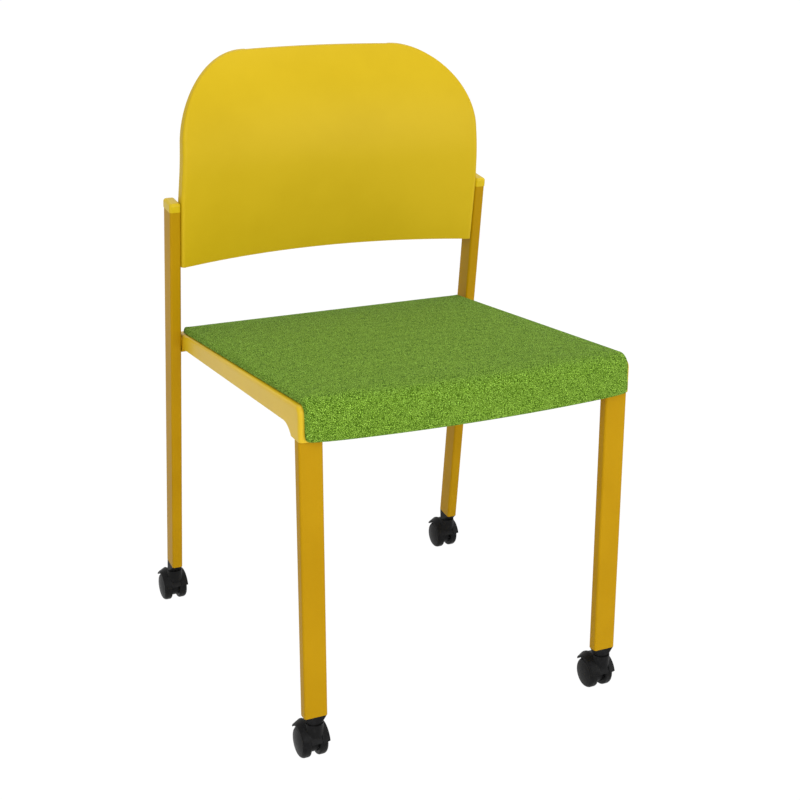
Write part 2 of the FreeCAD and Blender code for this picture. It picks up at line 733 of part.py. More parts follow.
# Seat pad: foam in a fabric cover, which runs over the shell's nose and down its front
def pad_section(x, inset):
    """The pad's outline across at x, drawn in by inset: its underside follows the shell."""
    g = value("seat_gap") + inset
    edge = value("pad_half") - abs(x)
    round_side = value("pad_edge")
    drop = 1 - min(edge / round_side, 1)
    slim = round_side * (1 - math.sqrt(1 - drop ** 2)) if drop < 1 else round_side
    # a side edge closes in from above and below by pinch, and from the ends by draw
    pinch, draw = 0.7 * slim, 0.3 * slim
    # a little crown is left at the sides, where a straight top has no arc
    least = 0.05
    crown = value("pad_crown") * (1 - (1 - least) * (x / value("pad_half")) ** 2)
    bow = value("shell_bow") * (1 - (x / value("shell_half_front")) ** 2)
    thick = value("pad_thick") - value("seat_gap") - 2 * inset
    slope = value("slope")
    nose, lip = value("shell_nose") + g + pinch, value("pad_lip") - inset
    outer_nose = value("pad_nose") - inset
    front_in = -value("shell_front") - bow - g - pinch
    front_out = front_in - thick + 2 * pinch + value("pad_front_thinner")
    rear = value("pad_rear_back") - inset - draw
    low = value("shell_front_bottom") + inset + draw

    def top_at(back):
        return value("shell_rear_top") + slope * (value("shell_rear_back") - back)

    def under(back):
        return top_at(back) + g + pinch

    def over(back):
        return under(back) + thick - 2 * pinch

    def corner(a, b, c, bend):
        """The middle of a quarter bend from a to c about the corner b."""
        return Vector(x, *[q + (p + r - 2 * q) * bend for p, q, r in zip(a, b, c)])

    quarter = 1 - math.sqrt(0.5)
    b1, b2 = (front_in + nose, under(front_in + nose)), (front_in, under(front_in) - nose)
    o1 = (front_out + outer_nose, over(front_out + outer_nose))
    o2 = (front_out, over(front_out) - outer_nose)
    o3 = (front_out, low + lip)
    b3 = (front_in, low)
    rear_in, rear_out = (rear, under(rear)), (rear, over(rear))
    top_middle = (rear + o1[0]) / 2
    crest = Vector(x, top_middle, (rear_out[1] + o1[1]) / 2 + crown)
    points = [
        (Vector(x, *rear_in),),
        (Vector(x, *b1), corner(b1, (front_in, under(front_in)), b2, quarter)),
        (Vector(x, *b2),),
        (Vector(x, *b3), corner(b3, (front_out, low), o3, quarter)),
        (Vector(x, *o3),),
        (Vector(x, *o2), corner(o2, (front_out, over(front_out)), o1, quarter)),
        (Vector(x, *o1), crest),
        (Vector(x, *rear_out),),
    ]
    return section_wire(points)


def pad_block(inset):
    half = value("pad_half") - inset
    edge = value("pad_edge")
    near = [half, half - edge * 0.1, half - edge * 0.4, half - edge, half * 0.8, half * 0.55,
            half * 0.28]
    stations = [-x for x in near] + [0.0] + near[::-1]
    return Part.makeLoft([pad_section(x, inset) for x in stations], True, True)


cover_shape = pad_block(0.0).cut(pad_block(value("cover_thick")))
foam_shape = pad_block(value("cover_thick+slide_fit"))
for label, shape in (("seat_cover", cover_shape), ("seat_foam", foam_shape)):
    piece = doc.addObject("Part::Feature", label)
    piece.Shape = shape
    place(piece)
    nodes[label] = piece


# Castors: a plug in the tube's end, and below it the hood that swivels with its two wheels
def castor_plug(label, wide, deep, mid_up, shift, lean):
    """The plug stands in the tube, square to it, and its collar narrows to the level neck."""
    plug = new_body(label)
    floor = "neck_top+seat_gap-(%s)" % mid_up
    level = new_sketch(plug, "XY_Plane", lift=floor)
    draw_rounded(level, "collar_long", "collar_short", "collar_corner", y=shift)
    mouth = new_sketch(plug, "XY_Plane", tilt=lean)
    draw_rounded(mouth, wide + "-2*slide_fit", deep + "-2*slide_fit", "tube_corner")
    loft = plug.newObject("PartDesign::AdditiveLoft", label + "_collar")
    loft.Profile = level
    loft.Sections = [mouth]
    loft.Ruled = True
    doc.recompute()
    inside = new_sketch(plug, "XY_Plane", tilt=lean)
    draw_rounded(inside, wide + "-2*tube_wall-2*slide_fit", deep + "-2*tube_wall-2*slide_fit",
                 "tube_corner-tube_wall")
    add_pad(plug, inside, "plug_insert")
    bore = new_sketch(plug, "XY_Plane", lift=floor)
    draw_circle(bore, "0", shift, "stem_radius+running_fit")
    add_pocket(plug, bore, "stem_length", flipped=True)
    return plug


def castor_hood(label):
    """Neck, fender and web in one moulding. Its own origin is the middle of the axle."""
    hood = new_body(label)
    band = new_sketch(hood, "XZ_Plane", tilt="fender_lean")
    rim, crest = "well_radius+fender_wall", "well_radius+fender_wall+fender_rise"
    draw_outline(band, [
        ("-fender_half", "wheel_radius-fender_skirt"),
        ("fender_half", "wheel_radius-fender_skirt"),
        ("fender_half", rim),
        ("fender_crest", crest),
        ("channel_half", crest),
        ("channel_half", crest + "-channel_deep"),
        ("-channel_half", crest + "-channel_deep"),
        ("-channel_half", crest),
        ("-fender_crest", crest),
        ("-fender_half", rim),
    ])
    add_turn(hood, band, "fender_turn", centred=True)
    side, reach = value("fender_half"), value(rim)
    add_fillet(hood, "fender_round", lambda edge, middle: abs(abs(middle.x) - side) < 1e-6
               and abs(math.hypot(middle.y, middle.z) - reach) < 1e-6)
    neck = new_sketch(hood, "XY_Plane", lift="neck_up-neck_bore+neck_radius/2")
    draw_circle(neck, "0", "-castor_trail", "neck_radius")
    add_pad(hood, neck, "neck_bore-neck_radius/2")
    web = new_sketch(hood, "YZ_Plane")
    draw_outline(web, [
        ("-castor_trail-neck_radius/2", "neck_up-neck_radius/2"),
        ("-web_radius", "0", "-web_radius"),
        ("0", "-web_radius", "-web_radius"),
        ("web_radius", "0"),
        ("0", "neck_up-neck_radius/2"),
    ])
    add_pad(hood, web, "web_thick", centred=True)
    for out in (1, -1):
        well = new_sketch(hood, "YZ_Plane", lift="%d*web_thick/2" % out)
        draw_circle(well, "0", "0", "well_radius")
        add_pocket(hood, well, "fender_half+web_thick", flipped=out > 0)
    hole = new_sketch(hood, "YZ_Plane")
    draw_circle(hole, "0", "0", "axle_radius+slide_fit")
    add_pocket(hood, hole, "2*web_thick", centred=True)
    socket = new_sketch(hood, "XY_Plane", lift="neck_up")
    draw_circle(socket, "0", "-castor_trail", "stem_radius+slide_fit")
    add_pocket(hood, socket, "neck_bore")
    return hood


def castor_wheel(label):
    """A wheel about its own X axis, from its inner face at 0 out to its domed cap."""
    wheel = new_body(label)
    half = new_sketch(wheel, "XY_Plane")
    draw_outline(half, [
        ("0", "wheel_bore"),
        ("wheel_bore_deep", "wheel_bore"),
        ("wheel_bore_deep", "0"),
        ("wheel_wide", "0", "-wheel_dome"),
        ("wheel_wide-wheel_crown", "wheel_radius-tread_round", "-tread_round"),
        ("wheel_wide-wheel_crown-tread_round", "wheel_radius"),
        ("tread_round/2", "wheel_radius", "-tread_round/2"),
        ("0", "wheel_radius-tread_round/2"),
        ("0", "wheel_radius-tread_round"),
        ("wheel_recess", "wheel_radius-tread_round-wheel_recess/3"),
        ("wheel_recess", "hub_radius+wheel_recess/3"),
        ("0", "hub_radius"),
    ])
    add_turn(wheel, half)
    return wheel


for end in ("front", "rear"):
    front = end == "front"
    centre = "front_leg_centre" if front else "upright_centre"
    stem_back = "front_stem_back" if front else "rear_stem_back"
    for side, sign in sides.items():
        name = "%s_%s" % (end, side)
        x = "%d*%s" % (sign, centre)
        if front:
            plug = castor_plug("castor_plug_" + name, "tube_long", "tube_short",
                               "tube_end_height", "0", "0")
            place(plug, x, "front_stem_back", "tube_end_height")
        else:
            plug = castor_plug("castor_plug_" + name, "tube_short", "tube_long",
                               "upright_mid_height", "rear_castor_shift", "upright_lean")
            place(plug, x, "upright_mid_back", "upright_mid_height")
        hood = castor_hood("castor_hood_" + name)
        place(hood, x, "%s+castor_trail" % stem_back, "wheel_radius")

        stem = doc.addObject("Part::Cylinder", "castor_stem_" + name)
        bind(stem, "Radius", "stem_radius")
        bind(stem, "Height", "neck_bore+stem_length-2*seat_gap")
        place(stem, x, stem_back, "neck_top-neck_bore+seat_gap")

        axle = doc.addObject("Part::Cylinder", "castor_axle_" + name)
        bind(axle, "Radius", "axle_radius")
        bind(axle, "Height", "2*(wheel_gap+wheel_bore_deep-seat_gap)")
        place_turned(axle, "%s-wheel_gap-wheel_bore_deep+seat_gap" % x,
                     "%s+castor_trail" % stem_back, "wheel_radius", Vector(0, 1, 0), 90)
        for piece in (plug, hood, stem, axle):
            nodes[piece.Label] = piece
        for hand, out in sides.items():
            wheel = castor_wheel("castor_wheel_%s_%s" % (name, hand))
            place_turned(wheel, "%s+%d*wheel_gap" % (x, out), "%s+castor_trail" % stem_back,
                         "wheel_radius", Vector(0, 0, 1), 90 - 90 * out)
            nodes[wheel.Label] = wheel

# Check and write
doc.recompute()
os.makedirs("parts", exist_ok=True)
for obj in doc.Objects:
    if "Invalid" in obj.State or "Error" in obj.State:
        raise RuntimeError("%s is %s" % (obj.Label, obj.State))
for label, obj in nodes.items():
    if obj.Shape.isNull() or not obj.Shape.isValid():
        raise RuntimeError("%s has no valid shape" % label)
for label, obj in nodes.items():
    obj.Shape.exportStep("parts/%s.step" % label)
print(len(nodes), "nodes written")
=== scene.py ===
import json
import math
import bmesh
import bpy
import numpy as np
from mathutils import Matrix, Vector

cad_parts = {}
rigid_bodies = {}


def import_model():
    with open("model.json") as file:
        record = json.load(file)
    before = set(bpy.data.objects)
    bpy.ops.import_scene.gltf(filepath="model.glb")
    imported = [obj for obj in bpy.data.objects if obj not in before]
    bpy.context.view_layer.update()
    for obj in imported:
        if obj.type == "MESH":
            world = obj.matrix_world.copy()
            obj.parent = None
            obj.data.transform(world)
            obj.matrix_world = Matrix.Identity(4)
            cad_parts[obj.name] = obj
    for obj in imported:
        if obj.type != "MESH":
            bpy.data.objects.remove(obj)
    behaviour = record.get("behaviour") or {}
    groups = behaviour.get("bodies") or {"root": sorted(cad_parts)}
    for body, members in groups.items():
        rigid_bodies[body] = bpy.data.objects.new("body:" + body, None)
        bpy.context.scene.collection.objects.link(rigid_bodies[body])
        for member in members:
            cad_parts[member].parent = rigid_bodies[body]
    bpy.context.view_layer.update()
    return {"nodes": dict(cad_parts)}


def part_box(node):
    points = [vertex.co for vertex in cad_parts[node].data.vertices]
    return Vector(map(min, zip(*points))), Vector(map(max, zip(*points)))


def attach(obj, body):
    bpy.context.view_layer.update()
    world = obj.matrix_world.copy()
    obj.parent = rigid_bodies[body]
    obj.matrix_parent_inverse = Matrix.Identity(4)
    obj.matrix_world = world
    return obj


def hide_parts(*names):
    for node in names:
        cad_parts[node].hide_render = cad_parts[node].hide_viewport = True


for leftover in list(bpy.data.objects):  # Blender's own start-up cube, lamp and camera
    bpy.data.objects.remove(leftover)
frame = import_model()
nodes = frame["nodes"]
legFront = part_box("front_leg_left")[0].y  # depths below are counted back from this face
scene = bpy.context.scene
quarterTurn = math.pi / 2
print("frame loaded:", len(nodes), "nodes")


# Shader maths: a wrapped output socket whose operators add Math nodes
class Signal:
    def __init__(self, shader, socket):
        self.shader, self.socket = shader, socket

    def maths(self, operation, *others):
        inputs = dict(enumerate((self, *others)))
        return self.shader.node("ShaderNodeMath", {"operation": operation}, inputs)

    def __add__(self, other):
        return self.maths("ADD", other)

    def __mul__(self, other):
        return self.maths("MULTIPLY", other)

    def __sub__(self, other):
        return self.maths("SUBTRACT", other)

    def __rsub__(self, other):
        return self * -1.0 + other

    __radd__, __rmul__ = __add__, __mul__

    def ramp(self, low, high, kind="SMOOTHSTEP"):  # 0 below low, 1 above high
        return self.shader.node("ShaderNodeMapRange", {"interpolation_type": kind},
                                {"Value": self, "From Min": low, "From Max": high})


class Shader:
    def __init__(self, name, **constants):
        self.material = bpy.data.materials.new(name)
        self.material.use_nodes = True
        self.tree = self.material.node_tree
        self.surface = self.tree.nodes["Principled BSDF"]
        for word, content in constants.items():
            self.feed(word.replace("_", " "), content)
        self.place = self.node("ShaderNodeTexCoord", out="Object")

    def node(self, kind, settings=None, inputs=None, out=0):
        made = self.tree.nodes.new(kind)
        for key, content in (settings or {}).items():
            setattr(made, key, content)
        for key, content in (inputs or {}).items():
            if isinstance(content, Signal):
                self.tree.links.new(content.socket, made.inputs[key])
            else:
                made.inputs[key].default_value = content
        return Signal(self, made.outputs[out])

    def feed(self, socketName, content):
        target = self.surface.inputs[socketName]
        if isinstance(content, Signal):
            self.tree.links.new(content.socket, target)
        elif isinstance(content, tuple):
            target.default_value = (*content, 1.0)
        else:
            target.default_value = content

    def noise(self, scale, detail=2.0, rough=0.5):
        inputs = {"Vector": self.place, "Scale": scale, "Detail": detail, "Roughness": rough}
        return self.node("ShaderNodeTexNoise", None, inputs)

    def mix(self, factor, first, second):  # colours
        pair = [c if isinstance(c, Signal) else (*c, 1.0) for c in (first, second)]
        inputs = {0: factor, 6: pair[0], 7: pair[1]}
        return self.node("ShaderNodeMix", {"data_type": "RGBA"}, inputs, out=2)

    def bump(self, height, distance):
        return self.node("ShaderNodeBump", None, {"Height": height, "Distance": distance})


# Powder coat: slow drift of tone, and orange peel with a finer grain on it
def powderCoat(name, look):
    shader = Shader(name, IOR=look["ior"])
    drift = shader.noise(look["driftScale"], detail=3.0)
    shader.feed("Base Color", shader.mix(drift.ramp(0.3, 0.7), look["deep"], look["light"]))
    peel = shader.noise(look["peelScale"])
    shader.feed("Roughness", peel * look["roughSwing"] + look["roughLow"])
    grain = shader.noise(look["peelScale"] * look["grainFiner"], detail=1.0)
    height = peel + grain * look["grainShare"]
    shader.feed("Normal", shader.bump(height, look["peelDepth"]))
    return shader.material


# Moulded plastic: a fine eroded grain, faint clouds where the melt has flowed
def mouldedPlastic(name, look):
    shader = Shader(name, IOR=look["ior"])
    clouds = shader.noise(look["cloudScale"], detail=4.0, rough=0.6)
    shader.feed("Base Color", shader.mix(clouds.ramp(0.35, 0.65), look["deep"], look["light"]))
    grain = shader.noise(look["grainScale"], detail=3.0, rough=0.6)
    grainSwing, cloudSwing = 0.08, 0.05  # how far each of them moves the roughness
    shader.feed("Roughness", grain * grainSwing + clouds * cloudSwing + look["roughLow"])
    shader.feed("Normal", shader.bump(grain, look["grainDepth"]))
    return shader.material


# Crepe cloth: cells pushed about by noise are the yarn's loops, and the gaps between them get
# painted shade, a near black green where the loops shadow each other
def crepeCloth(name, cloth):
    shader = Shader(name, Sheen_Weight=cloth["sheen"], Sheen_Roughness=cloth["sheenRough"],
                    Sheen_Tint=cloth["sheenTint"], Specular_IOR_Level=cloth["specular"])
    warpScale = cloth["loopScale"] * cloth["wanderScale"]
    warp = shader.node("ShaderNodeTexNoise", None,
                       {"Vector": shader.place, "Scale": warpScale}, out="Color")
    centred = shader.node("ShaderNodeVectorMath", {"operation": "SUBTRACT"},
                          {0: warp, 1: (0.5, 0.5, 0.5)})
    pushed = shader.node("ShaderNodeVectorMath", {"operation": "MULTIPLY_ADD"},
                         {0: centred, 1: (cloth["wander"],) * 3, 2: shader.place})
    drawn = shader.node("ShaderNodeMapping", None, {"Vector": pushed, "Scale": cloth["stretch"]})
    cells = {"Vector": drawn, "Scale": cloth["loopScale"]}
    gap = shader.node("ShaderNodeTexVoronoi", {"feature": "DISTANCE_TO_EDGE"}, cells,
                      out="Distance")
    tone = shader.node("ShaderNodeTexVoronoi", {"feature": "F1"}, cells, out="Color")
    level = shader.node("ShaderNodeSeparateColor", None, {"Color": tone})
    fibre = shader.noise(cloth["loopScale"] * cloth["fibreFiner"], rough=0.6)
    patches = shader.noise(cloth["patchScale"])
    loop = gap.ramp(cloth["gapLow"], cloth["gapHigh"])
    shade = (level * cloth["loopTone"] + fibre * cloth["fibreTone"]).ramp(cloth["toneLow"], 1.0)
    lit = shader.mix(shade, cloth["mid"], cloth["light"])
    patchy = patches * cloth["patchSwing"] + cloth["patchLow"]
    unshadedShare = (loop * patchy).ramp(0.0, 1.0, "LINEAR")
    # painted shade: the gaps between the loops are mixed towards a near black green
    shader.feed("Base Color", shader.mix(unshadedShare, cloth["gapShade"], lit))
    shader.feed("Roughness", cloth["rough"] - loop * cloth["loopSmoother"])
    height = (gap.ramp(0.0, cloth["gapHigh"] * cloth["loopRound"])
              + level * cloth["loopHeight"] + fibre * cloth["fibreHeight"])
    shader.feed("Normal", shader.bump(height, cloth["depth"]))
    return shader.material


# Black nylon: matt grain, paler and drier where it has been scuffed
def blackNylon(name, look):
    shader = Shader(name, IOR=look["ior"])
    scuffs = shader.noise(look["scuffScale"], detail=5.0, rough=0.65)
    shader.feed("Base Color", shader.mix(scuffs.ramp(0.45, 0.75), look["deep"], look["light"]))
    shader.feed("Roughness", scuffs * look["roughSwing"] + look["roughLow"])
    shader.feed("Normal", shader.bump(shader.noise(look["grainScale"]), look["grainDepth"]))
    return shader.material


# Zinc plated steel: cloudy plating over fine tool marks
def platedSteel(name, look):
    shader = Shader(name, Metallic=1.0)
    clouds = shader.noise(look["cloudScale"], detail=3.0)
    shader.feed("Base Color", shader.mix(clouds, look["deep"], look["light"]))
    shader.feed("Roughness", clouds * look["roughSwing"] + look["roughLow"])
    marks = shader.noise(look["markScale"], detail=1.0)
    shader.feed("Normal", shader.bump(marks, look["markDepth"]))
    return shader.material


# Noise runs from 0 to 1, so roughness runs from roughLow up by the swings of its noises. The
# IORs are lower than real plastic's: they were matched to the tone in the photograph
finishes = {
    "framePaint": (powderCoat, dict(
        deep=(0.395, 0.216, 0.0020), light=(0.43, 0.24, 0.0030), roughLow=0.33, roughSwing=0.1,
        ior=1.13, driftScale=9.0, peelScale=650.0, peelDepth=0.00005, grainFiner=4.0,
        grainShare=0.35)),
    "panelPlastic": (mouldedPlastic, dict(
        deep=(0.535, 0.365, 0.006), light=(0.565, 0.388, 0.008), roughLow=0.395, ior=1.22,
        cloudScale=5.0, grainScale=2200.0, grainDepth=0.00002)),
    "shellPlastic": (mouldedPlastic, dict(
        deep=(0.62, 0.41, 0.010), light=(0.66, 0.44, 0.013), roughLow=0.275, ior=1.3,
        cloudScale=9.0, grainScale=2200.0, grainDepth=0.00002)),
    "capPlastic": (mouldedPlastic, dict(
        deep=(0.58, 0.41, 0.006), light=(0.62, 0.44, 0.008), roughLow=0.275, ior=1.25,
        cloudScale=30.0, grainScale=2600.0, grainDepth=0.00002)),
    "padCloth": (crepeCloth, dict(
        # the third, near black green is painted shade for the gaps between the loops
        light=(0.36, 0.61, 0.076), mid=(0.22, 0.41, 0.034), gapShade=(0.042, 0.10, 0.003),
        loopScale=600.0, wanderScale=0.45, wander=0.0012, stretch=(1.0, 0.75, 1.0),
        gapLow=0.04, gapHigh=0.25, loopTone=0.7, fibreTone=0.5, toneLow=0.15, fibreFiner=5.0,
        patchScale=190.0, patchSwing=0.6, patchLow=0.72, rough=0.97, loopSmoother=0.1,
        depth=0.0005, loopRound=1.6, loopHeight=0.35, fibreHeight=0.3, specular=0.08,
        sheen=0.06, sheenRough=0.5, sheenTint=(0.75, 0.95, 0.45))),
    "castorNylon": (blackNylon, dict(
        deep=(0.007, 0.007, 0.0072), light=(0.013, 0.013, 0.0134), roughLow=0.34,
        roughSwing=0.15, ior=1.16, scuffScale=160.0, grainScale=2600.0, grainDepth=0.00003)),
    "wheelNylon": (blackNylon, dict(
        deep=(0.008, 0.008, 0.0082), light=(0.015, 0.015, 0.0154), roughLow=0.32,
        roughSwing=0.15, ior=1.16, scuffScale=120.0, grainScale=1800.0, grainDepth=0.00003)),
    "zincSteel": (platedSteel, dict(
        deep=(0.5, 0.5, 0.52), light=(0.68, 0.68, 0.66), roughLow=0.22, roughSwing=0.2,
        cloudScale=300.0, markScale=3000.0, markDepth=0.00002)),
}
finish = {name: make(name, look) for name, (make, look) in finishes.items()}
slotFinish = {
    "frame_paint": "framePaint", "panel_plastic": "panelPlastic", "shell_plastic": "shellPlastic",
    "cap_plastic": "capPlastic", "pad_fabric": "padCloth", "foam": "padCloth",
    "castor_plastic": "castorNylon", "wheel_plastic": "wheelNylon", "zinc_steel": "zincSteel",
}
for node in nodes.values():
    for spot in node.material_slots:
        spot.material = finish[slotFinish[spot.material.name]]
print("finishes made:", len(finish))


# Each new piece is a stack of closed loops of points. A loop runs over the outer sheet and back
# along the inner one
def joinSheets(outer, inner):
    return np.concatenate([outer, inner[:, ::-1]], axis=1)


# The faces of such a stack, its points numbered loop by loop: quads between neighbouring loops,
# and both ends closed by pairing a loop's first half with its second half backwards
def loopFaces(rows, columns):
    row, column = np.meshgrid(np.arange(rows - 1), np.arange(columns), indexing="ij")
    after = (column + 1) % columns
    quads = [row * columns + column, row * columns + after, (row + 1) * columns + after,
             (row + 1) * columns + column]
    i = np.arange(columns // 2 - 1)
    cap = np.stack([i, i + 1, columns - 2 - i, columns - 1 - i], -1)
    return np.concatenate([np.stack(quads, -1).reshape(-1, 4), cap, cap + (rows - 1) * columns])


def addPiece(name, loops, slotName, *replaced, body="root"):
    mesh = bpy.data.meshes.new(name)
    mesh.from_pydata(loops.reshape(-1, 3).tolist(), [], loopFaces(*loops.shape[:2]).tolist())
    shape = bmesh.new()
    shape.from_mesh(mesh)
    bmesh.ops.recalc_face_normals(shape, faces=shape.faces)
    shape.to_mesh(mesh)
    shape.free()
    mesh.materials.append(finish[slotFinish[slotName]])
    mesh.shade_smooth()
    piece = bpy.data.objects.new(name, mesh)
    scene.collection.objects.link(piece)
    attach(piece, body)
    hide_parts(*replaced)
    return piece


def addModifier(piece, kind, **settings):
    modifier = piece.modifiers.new(kind, kind)
    for key, content in settings.items():
        setattr(modifier, key, content)
    return modifier


def applyModifiers(piece):
    graph = bpy.context.evaluated_depsgraph_get()
    mesh = bpy.data.meshes.new_from_object(piece.evaluated_get(graph))
    piece.modifiers.clear()
    piece.data = mesh


edges = {
    "sharp": math.radians(50),   # edges that turn more than this are rounded
    "faceWeight": 80,            # how much the wide faces keep their own normals
    "easePoints": 5,             # points on a quarter turn where a row closes up at a rim
}


def roundEdges(piece, width, segments):
    addModifier(piece, "BEVEL", width=width, segments=segments, limit_method="ANGLE",
                angle_limit=edges["sharp"])
    addModifier(piece, "WEIGHTED_NORMAL", keep_sharp=False, weight=edges["faceWeight"])


# Shares from 0 to 1 along a length, close together over each end that is eased
def easedShares(length, spacing, easeStart=0.0, easeEnd=0.0):
    turn = np.linspace(0, quarterTurn, edges["easePoints"])[:-1]
    start = easeStart * (1 - np.cos(turn)) if easeStart else []
    end = length - easeEnd * (1 - np.cos(turn[::-1])) if easeEnd else [length]
    middle = np.linspace(easeStart, length - easeEnd, max(int(length / spacing), 2))
    middle = middle if easeEnd else middle[:-1]
    return np.concatenate([start, middle, end])[:, None] / length


# How far a rounded rim falls at distances from two edges: r (1 - sqrt(1 - a^2 - b^2)), where a
# and b go from 1 on an edge to 0 at r from it
def rimFall(radius, *distances):
    squares = sum((1 - np.clip(d / radius, 0, 1)) ** 2 for d in distances)
    return radius * (1 - np.sqrt(1 - np.minimum(squares, 1)))


# Seat pad: its underside follows the shell back to front and down over the nose, its thickness
# is laid on along the underside's normal, and its rims are rounded. Depths are counted back
# from the legs' front
pad = {
    "half": 0.2140,
    "rear": 0.4465,
    "low": 0.4170,
    "slope": 0.0662,         # rise of the seat towards its front
    "shellRear": (0.458, 0.4283),    # depth and height of the shell's rear edge
    "shellFront": 0.0035,    # the shell's front corners stand this far before the legs
    "bow": 0.0155,           # its front edge bows this much more in the middle
    "shellHalf": 0.2198,
    "lift": 0.0005,
    "nose": 0.0105,
    "nosePoints": 10,
    "thick": 0.0090,
    "lipThinner": 0.0025,
    "crown": 0.0030,
    "rimTop": 0.0034,
    "rimLow": 0.0016,
    "cornerRear": 0.004,
    "cornerLip": 0.0065,
    "spacing": 0.0046,
    "swellCap": 0.0012,      # nearly all of the cover reaches it
    "pressure": 4.0,
    "clothSteps": 20,
    "clothQuality": 6,
    "clothMass": 0.25,
    "stretchStiffness": 25.0,
    "shearStiffness": 12.0,
    "bendingStiffness": 1.5,
    "fill": 0.6,
}


def padLoops():
    across = easedShares(2 * pad["half"], pad["spacing"], pad["rimTop"], pad["rimTop"])[:, 0]
    across = (across * 2 - 1)[None, :]

    def under(depth):
        return (pad["shellRear"][1] + pad["slope"] * (pad["shellRear"][0] - depth)
                + pad["lift"])

    front = -pad["shellFront"] - pad["lift"] - pad["bow"] * (
        1 - (across * pad["half"] / pad["shellHalf"]) ** 2)
    nose, rear, low = pad["nose"], pad["rear"], pad["low"]
    knee = front + nose
    shin = under(front) - nose
    topShare = easedShares(rear - knee.mean(), pad["spacing"], pad["rimTop"])
    lipShare = easedShares(shin.mean() - low, pad["spacing"], 0.0, pad["rimTop"])
    turn = np.linspace(0, quarterTurn, pad["nosePoints"])[:-1, None]
    # straight back to front, a quarter turn about the nose, then down to the lip
    depth = [rear + (knee - rear) * topShare[:-1], knee - nose * np.sin(turn),
             front + 0 * lipShare]
    height = [under(depth[0]), under(knee) + 0 * turn - nose * (1 - np.cos(turn)),
              shin + (low - shin) * lipShare]
    height[1] += (shin - under(knee) + nose) * turn / quarterTurn
    depth, height = np.concatenate(depth), np.concatenate(height)
    onTop = len(topShare) - 1
    # the outward normal, square to the line's own direction in the depth-height plane
    alongDepth, alongHeight = np.gradient(depth, axis=0), np.gradient(height, axis=0)
    length = np.hypot(alongDepth, alongHeight)
    normal = alongHeight / length, -alongDepth / length
    middle = depth.shape[1] // 2
    steps = np.hypot(np.diff(depth[:, middle]), np.diff(height[:, middle]))
    run = np.concatenate([[0], np.cumsum(steps)])[:, None]
    fromRear, fromLip = run, run[-1] - run
    half = (pad["half"] - rimFall(pad["cornerRear"], fromRear)
            - rimFall(pad["cornerLip"], fromLip))
    x = across * half
    fromSide, fromEnd = half - np.abs(x), np.minimum(fromRear, fromLip)
    crown = pad["crown"] * (1 - across ** 2) * np.sin(np.clip(run / run[onTop], 0, 1) * math.pi)
    bent = np.clip((run - run[onTop]) / (nose * quarterTurn), 0, 1)
    tops = (pad["thick"] - pad["lipThinner"] * bent + crown
            - rimFall(pad["rimTop"], fromSide, fromEnd))
    lows = rimFall(pad["rimLow"], fromSide, fromEnd)
    return joinSheets(*(np.stack([x, legFront + depth + normal[0] * rise,
                                  height + normal[1] * rise], -1) for rise in (tops, lows)))


# The cover swells under pressure while its underside is held, and each point's way is cut at
# the cap, which nearly every free point reaches. The top rises by less than the cap, the sides
# and the front lip draw in a little, and the grid gives the rest of the form
def inflate(piece, held, look):
    group = piece.vertex_groups.new(name="held")
    group.add(held.tolist(), 1.0, "REPLACE")
    cloth = addModifier(piece, "CLOTH")
    settings = cloth.settings
    settings.quality = look["clothQuality"]
    settings.mass = look["clothMass"]
    settings.tension_stiffness = settings.compression_stiffness = look["stretchStiffness"]
    settings.shear_stiffness = look["shearStiffness"]
    settings.bending_stiffness = look["bendingStiffness"]
    settings.vertex_group_mass = group.name
    settings.use_pressure = True
    settings.uniform_pressure_force = look["pressure"]
    settings.effector_weights.gravity = 0.0
    before = np.empty(len(piece.data.vertices) * 3)
    piece.data.vertices.foreach_get("co", before)
    for step in range(look["clothSteps"]):
        scene.frame_set(step + 1)
    after = np.empty_like(before)
    graph = bpy.context.evaluated_depsgraph_get()
    piece.evaluated_get(graph).data.vertices.foreach_get("co", after)
    moved = (after - before).reshape(-1, 3)
    way = np.linalg.norm(moved, axis=1, keepdims=True)
    moved *= np.minimum(1, look["swellCap"] / np.maximum(way, 1e-9))  # a held point has no way
    piece.modifiers.clear()
    piece.vertex_groups.clear()
    piece.data.vertices.foreach_set("co", before + moved.ravel())
    scene.frame_set(1)
    print("%s: the cloth moved points by up to %.1f mm, and each was kept to %.1f mm"
          % (piece.name, 1000 * way.max(), 1000 * look["swellCap"]))


loops = padLoops()
seatPad = addPiece("seatPad", loops, "pad_fabric", "seat_cover", "seat_foam")
rows, columns = loops.shape[:2]
underside = np.arange(rows * columns).reshape(rows, columns)[:, columns // 2:]
inflate(seatPad, underside.ravel(), pad)
addModifier(seatPad, "SUBSURF", levels=1, render_levels=1)
applyModifiers(seatPad)
print("seat pad made:", len(seatPad.data.vertices), "points")


# Seat shell: a tray whose top line runs straight from the rear, turns down over the nose and
# ends behind the pad's lip, and whose sides hang from it to a lower line with a round knee. The
# solid's rear saddle, ears, screw bosses and bores aren't drawn here
shell = {
    "wall": 0.0026,
    "halfRear": 0.2178,
    "edge": 0.0045,
    "innerEdge": 0.002,
    "low": 0.4160,
    "lowRear": 0.4082,
    "lowSlope": 0.0498,      # rise of the lower line towards the front
    "kneeBack": 0.046,
    "kneeRound": 0.028,
    "lowKnee": 0.4165,       # where the knee's round meets the leg
    "rim": 0.0007,
    "rimSegments": 2,
    "topRows": 84,
    "kneeRows": 40,
    "skirtColumns": 9,
    "edgeColumns": 5,
    "plateColumns": 61,
}


